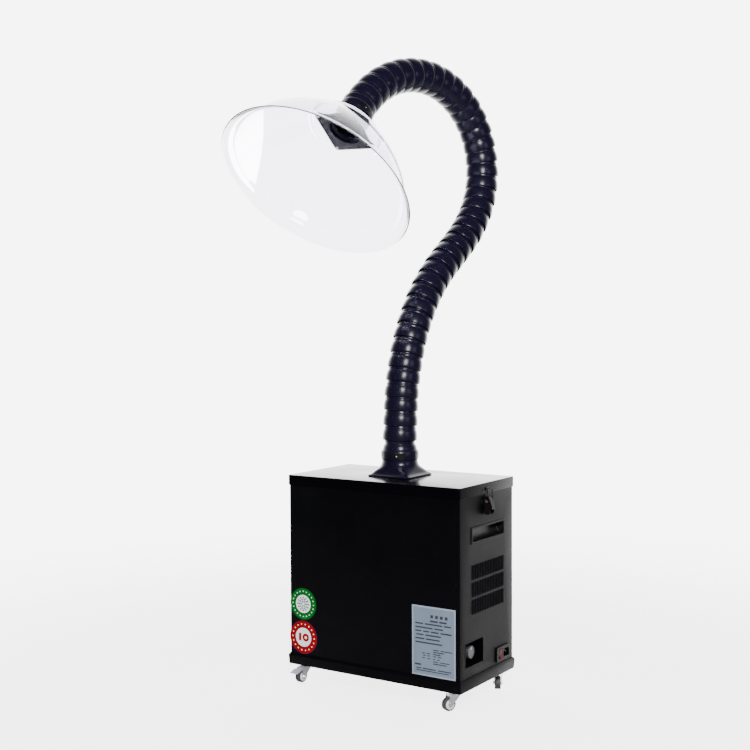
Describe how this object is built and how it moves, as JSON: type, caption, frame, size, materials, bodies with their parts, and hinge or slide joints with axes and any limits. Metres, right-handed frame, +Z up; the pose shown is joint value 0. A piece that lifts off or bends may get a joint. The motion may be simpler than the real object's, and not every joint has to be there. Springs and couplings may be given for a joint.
{
  "type": "solder fume extractor",
  "caption": "Mobile fume extractor: black filter cabinet on castors with a removable lid, a self-supporting segmented arm and a clear domed hood.",
  "frame": {"origin": "bottom centre of the bounding box, on the floor under the wheels", "axes": "+Z up; -Y the cabinet's broad front face; +X the narrow side with the controls"},
  "size_m": [0.4978, 0.7052, 1.3647],
  "materials": {
    "black_sheet": "satin powder coat",
    "black_plastic": "glossy moulded",
    "dark_metal": "dark plated",
    "zinc": "zinc plated",
    "tyre": "matt",
    "knob_grey": "satin",
    "inlet_grey": "satin",
    "red_plastic": "glossy",
    "clear_acrylic": "clear polished",
    "grey_foam": "open-cell foam",
    "filter_white": "pleated medium",
    "galvanised": "galvanised",
    "board_green": "satin"
  },
  "bodies": {
    "cabinet": {"cabinet_body": "black_sheet", "base_tray": "black_sheet", "handle_cup_right": "black_sheet", "handle_cup_left": "black_sheet", "latch_right_base": "dark_metal", "latch_left_base": "dark_metal", "castor_fl_plate": "zinc", "castor_fr_plate": "zinc", "castor_bl_plate": "zinc", "castor_br_plate": "zinc", "speed_recess_box": "black_plastic", "power_inlet": "inlet_grey", "pre_filter": "grey_foam", "main_filter": "filter_white", "filter_shelf": "galvanised", "blower_housing": "galvanised", "blower_motor": "dark_metal", "control_board": "board_green"},
    "lid": {"top_lid": "black_sheet", "lid_gasket": "grey_foam", "latch_right_keeper": "dark_metal", "latch_left_keeper": "dark_metal", "arm_base_flange": "black_plastic"},
    "latch_right_lever": {"latch_right_lever": "dark_metal"},
    "latch_right_bail": {"latch_right_bail": "zinc"},
    "latch_left_lever": {"latch_left_lever": "dark_metal"},
    "latch_left_bail": {"latch_left_bail": "zinc"},
    "castor_fl_fork": {"castor_fl_fork": "zinc"},
    "castor_fl_wheel": {"castor_fl_wheel": "tyre"},
    "castor_fr_fork": {"castor_fr_fork": "zinc"},
    "castor_fr_wheel": {"castor_fr_wheel": "tyre"},
    "castor_bl_fork": {"castor_bl_fork": "zinc"},
    "castor_bl_wheel": {"castor_bl_wheel": "tyre"},
    "castor_br_fork": {"castor_br_fork": "zinc"},
    "castor_br_wheel": {"castor_br_wheel": "tyre"},
    "castor_fl_pedal": {"castor_fl_pedal": "zinc"},
    "speed_knob": {"speed_knob": "knob_grey"},
    "rocker_switch": {"rocker_switch": "red_plastic"},
    "blower_impeller": {"blower_impeller": "black_plastic"},
    "arm_section_01": {"arm_section_01": "black_plastic"},
    "arm_section_02": {"arm_section_02": "black_plastic"},
    "arm_section_03": {"arm_section_03": "black_plastic"},
    "arm_section_04": {"arm_section_04": "black_plastic"},
    "arm_section_05": {"arm_section_05": "black_plastic"},
    "arm_section_06": {"arm_section_06": "black_plastic"},
    "arm_section_07": {"arm_section_07": "black_plastic"},
    "arm_section_08": {"arm_section_08": "black_plastic"},
    "arm_section_09": {"arm_section_09": "black_plastic"},
    "arm_section_10": {"arm_section_10": "black_plastic"},
    "arm_section_11": {"arm_section_11": "black_plastic"},
    "arm_section_12": {"arm_section_12": "black_plastic"},
    "arm_section_13": {"arm_section_13": "black_plastic"},
    "arm_section_14": {"arm_section_14": "black_plastic"},
    "arm_section_15": {"arm_section_15": "black_plastic"},
    "arm_section_16": {"arm_section_16": "black_plastic"},
    "arm_section_17": {"arm_section_17": "black_plastic"},
    "arm_section_18": {"arm_section_18": "black_plastic"},
    "arm_section_19": {"arm_section_19": "black_plastic"},
    "hood": {"hood_flange": "black_plastic", "hood": "clear_acrylic"}
  },
  "joints": [
    {"name": "lid_lift", "type": "slide", "parent": "cabinet", "child": "lid", "axis": [0, 0, 1], "range_m": [0, 0.12]},
    {"name": "latch_right_lever_hinge", "type": "hinge", "parent": "cabinet", "child": "latch_right_lever", "pos_m": [0.23769, 0.02978, 0.424], "axis": [0, -1, 0], "range_deg": [0, 115]},
    {"name": "latch_right_bail_hinge", "type": "hinge", "parent": "latch_right_lever", "child": "latch_right_bail", "pos_m": [0.24219, 0.02978, 0.417], "axis": [0, -1, 0], "range_deg": [-127, 0]},
    {"name": "latch_left_lever_hinge", "type": "hinge", "parent": "cabinet", "child": "latch_left_lever", "pos_m": [-0.20071, 0.02978, 0.424], "axis": [0, 1, 0], "range_deg": [0, 115]},
    {"name": "latch_left_bail_hinge", "type": "hinge", "parent": "latch_left_lever", "child": "latch_left_bail", "pos_m": [-0.20521, 0.02978, 0.417], "axis": [0, 1, 0], "range_deg": [-127, 0]},
    {"name": "castor_fl_swivel", "type": "hinge", "parent": "cabinet", "child": "castor_fl_fork", "pos_m": [-0.17051, -0.06022, 0.036], "axis": [0, 0, 1], "continuous": true},
    {"name": "castor_fl_roll", "type": "hinge", "parent": "castor_fl_fork", "child": "castor_fl_wheel", "pos_m": [-0.1713, -0.0752, 0.014], "axis": [0.9986, -0.0523, 0], "continuous": true},
    {"name": "castor_fr_swivel", "type": "hinge", "parent": "cabinet", "child": "castor_fr_fork", "pos_m": [0.20749, -0.06022, 0.036], "axis": [0, 0, 1], "continuous": true},
    {"name": "castor_fr_roll", "type": "hinge", "parent": "castor_fr_fork", "child": "castor_fr_wheel", "pos_m": [0.20091, -0.0737, 0.014], "axis": [0.8988, -0.4384, 0], "continuous": true},
    {"name": "castor_bl_swivel", "type": "hinge", "parent": "cabinet", "child": "castor_bl_fork", "pos_m": [-0.17051, 0.12578, 0.036], "axis": [0, 0, 1], "continuous": true},
    {"name": "castor_bl_roll", "type": "hinge", "parent": "castor_bl_fork", "child": "castor_bl_wheel", "pos_m": [-0.16301, 0.11279, 0.014], "axis": [0.866, 0.5, 0], "continuous": true},
    {"name": "castor_br_swivel", "type": "hinge", "parent": "cabinet", "child": "castor_br_fork", "pos_m": [0.20749, 0.12578, 0.036], "axis": [0, 0, 1], "continuous": true},
    {"name": "castor_br_roll", "type": "hinge", "parent": "castor_br_fork", "child": "castor_br_wheel", "pos_m": [0.2143, 0.11241, 0.014], "axis": [0.891, 0.454, 0], "continuous": true},
    {"name": "castor_fl_brake", "type": "hinge", "parent": "castor_fl_fork", "child": "castor_fl_pedal", "pos_m": [-0.17148, -0.0787, 0.0305], "axis": [0.9986, -0.0523, 0], "range_deg": [0, 14]},
    {"name": "speed_knob_turn", "type": "hinge", "parent": "cabinet", "child": "speed_knob", "pos_m": [0.20169, -0.02172, 0.1115], "axis": [-1, 0, 0], "range_deg": [0, 270]},
    {"name": "rocker_switch_tip", "type": "hinge", "parent": "cabinet", "child": "rocker_switch", "pos_m": [0.23379, 0.08828, 0.084], "axis": [0, 1, 0], "range_deg": [0, 14]},
    {"name": "blower_impeller_spin", "type": "hinge", "parent": "cabinet", "child": "blower_impeller", "pos_m": [0.01849, 0.03278, 0.2], "axis": [0, 0, 1], "continuous": true},
    {"name": "arm_lower_tilt_1", "type": "hinge", "parent": "lid", "child": "arm_section_01", "pos_m": [0.01849, 0.03278, 0.536], "axis": [-1, 0.0001, 0.0053], "range_deg": [-7, 7]},
    {"name": "arm_lower_swing_1", "type": "hinge", "parent": "arm_section_01", "child": "arm_section_02", "pos_m": [0.01999, 0.03758, 0.62853], "axis": [0, 0.9926, -0.1213], "range_deg": [-6, 6]},
    {"name": "arm_lower_tilt_2", "type": "hinge", "parent": "arm_section_02", "child": "arm_section_03", "pos_m": [0.02264, 0.04642, 0.68962], "axis": [-0.9984, 0.0124, 0.055], "range_deg": [-7, 7]},
    {"name": "arm_lower_swing_2", "type": "hinge", "parent": "arm_section_03", "child": "arm_section_04", "pos_m": [0.02635, 0.06203, 0.74926], "axis": [0, 0.9336, -0.3584], "range_deg": [-6, 6]},
    {"name": "arm_lower_tilt_3", "type": "hinge", "parent": "arm_section_04", "child": "arm_section_05", "pos_m": [0.03083, 0.08635, 0.80584], "axis": [-0.9966, 0.0414, 0.0718], "range_deg": [-7, 7]},
    {"name": "arm_lower_swing_3", "type": "hinge", "parent": "arm_section_05", "child": "arm_section_06", "pos_m": [0.03625, 0.11898, 0.85799], "axis": [0, 0.7786, -0.6275], "range_deg": [-6, 6]},
    {"name": "arm_lower_tilt_4", "type": "hinge", "parent": "arm_section_06", "child": "arm_section_07", "pos_m": [0.04332, 0.15937, 0.90416], "axis": [-0.991, 0.0984, 0.0912], "range_deg": [-7, 7]},
    {"name": "arm_lower_swing_4", "type": "hinge", "parent": "arm_section_07", "child": "arm_section_08", "pos_m": [0.05177, 0.20492, 0.94505], "axis": [0, 0.6667, -0.7453], "range_deg": [-6, 6]},
    {"name": "arm_lower_tilt_5", "type": "hinge", "parent": "arm_section_08", "child": "arm_section_09", "pos_m": [0.0596, 0.24942, 0.98718], "axis": [-0.9951, 0.0636, 0.0759], "range_deg": [-7, 7]},
    {"name": "arm_lower_swing_5", "type": "hinge", "parent": "arm_section_09", "child": "arm_section_10", "pos_m": [0.06495, 0.28631, 1.03636], "axis": [0, 0.8939, -0.4483], "range_deg": [-6, 6]},
    {"name": "arm_upper_tilt_1", "type": "hinge", "parent": "arm_section_10", "child": "arm_section_11", "pos_m": [0.0667, 0.31004, 1.09322], "axis": [-0.9998, -0.0039, -0.0215], "range_deg": [-1.5, 14]},
    {"name": "arm_upper_swing_1", "type": "hinge", "parent": "arm_section_11", "child": "arm_section_12", "pos_m": [0.06434, 0.31626, 1.15448], "axis": [0, -0.9915, -0.1302], "range_deg": [-6, 6]},
    {"name": "arm_upper_tilt_2", "type": "hinge", "parent": "arm_section_12", "child": "arm_section_13", "pos_m": [0.05818, 0.30335, 1.21438], "axis": [-0.9895, 0.0646, -0.1291], "range_deg": [-1.5, 14]},
    {"name": "arm_upper_swing_2", "type": "hinge", "parent": "arm_section_13", "child": "arm_section_14", "pos_m": [0.0484, 0.27157, 1.2662], "axis": [0, -0.6918, -0.7221], "range_deg": [-6, 6]},
    {"name": "arm_upper_tilt_3", "type": "hinge", "parent": "arm_section_14", "child": "arm_section_15", "pos_m": [0.03557, 0.22477, 1.30414], "axis": [-0.9714, 0.2155, -0.0994], "range_deg": [-1.5, 14]},
    {"name": "arm_upper_swing_3", "type": "hinge", "parent": "arm_section_15", "child": "arm_section_16", "pos_m": [0.02045, 0.16868, 1.32465], "axis": [0, -0.1106, -0.9939], "range_deg": [-6, 6]},
    {"name": "arm_upper_tilt_4", "type": "hinge", "parent": "arm_section_16", "child": "arm_section_17", "pos_m": [0.00454, 0.10917, 1.32678], "axis": [-0.9701, 0.2384, 0.0445], "range_deg": [-1.5, 14]},
    {"name": "arm_upper_swing_4", "type": "hinge", "parent": "arm_section_17", "child": "arm_section_18", "pos_m": [-0.0098, 0.05113, 1.31171], "axis": [0, 0.4381, -0.8989], "range_deg": [-6, 6]},
    {"name": "arm_upper_tilt_5", "type": "hinge", "parent": "arm_section_18", "child": "arm_section_19", "pos_m": [-0.02103, -0.00171, 1.28193], "axis": [-0.9912, 0.103, 0.0831], "range_deg": [-1.5, 14]},
    {"name": "hood_tilt", "type": "hinge", "parent": "arm_section_19", "child": "hood", "pos_m": [-0.02801, -0.04747, 1.24112], "axis": [-0.9985, 0.0346, 0.0414], "range_deg": [-4, 12]}
  ],
  "couplings": [
    {"joint": "latch_right_bail_hinge", "follows": "latch_right_lever_hinge", "ratio": -1.1},
    {"joint": "latch_left_bail_hinge", "follows": "latch_left_lever_hinge", "ratio": -1.1},
    {"joint": "arm_lower_tilt_2", "follows": "arm_lower_tilt_1", "ratio": 1},
    {"joint": "arm_lower_swing_2", "follows": "arm_lower_swing_1", "ratio": 1},
    {"joint": "arm_lower_tilt_3", "follows": "arm_lower_tilt_1", "ratio": 1},
    {"joint": "arm_lower_swing_3", "follows": "arm_lower_swing_1", "ratio": 1},
    {"joint": "arm_lower_tilt_4", "follows": "arm_lower_tilt_1", "ratio": 1},
    {"joint": "arm_lower_swing_4", "follows": "arm_lower_swing_1", "ratio": 1},
    {"joint": "arm_lower_tilt_5", "follows": "arm_lower_tilt_1", "ratio": 1},
    {"joint": "arm_lower_swing_5", "follows": "arm_lower_swing_1", "ratio": 1},
    {"joint": "arm_upper_tilt_2", "follows": "arm_upper_tilt_1", "ratio": 1},
    {"joint": "arm_upper_swing_2", "follows": "arm_upper_swing_1", "ratio": 1},
    {"joint": "arm_upper_tilt_3", "follows": "arm_upper_tilt_1", "ratio": 1},
    {"joint": "arm_upper_swing_3", "follows": "arm_upper_swing_1", "ratio": 1},
    {"joint": "arm_upper_tilt_4", "follows": "arm_upper_tilt_1", "ratio": 1},
    {"joint": "arm_upper_swing_4", "follows": "arm_upper_swing_1", "ratio": 1},
    {"joint": "arm_upper_tilt_5", "follows": "arm_upper_tilt_1", "ratio": 1}
  ]
}
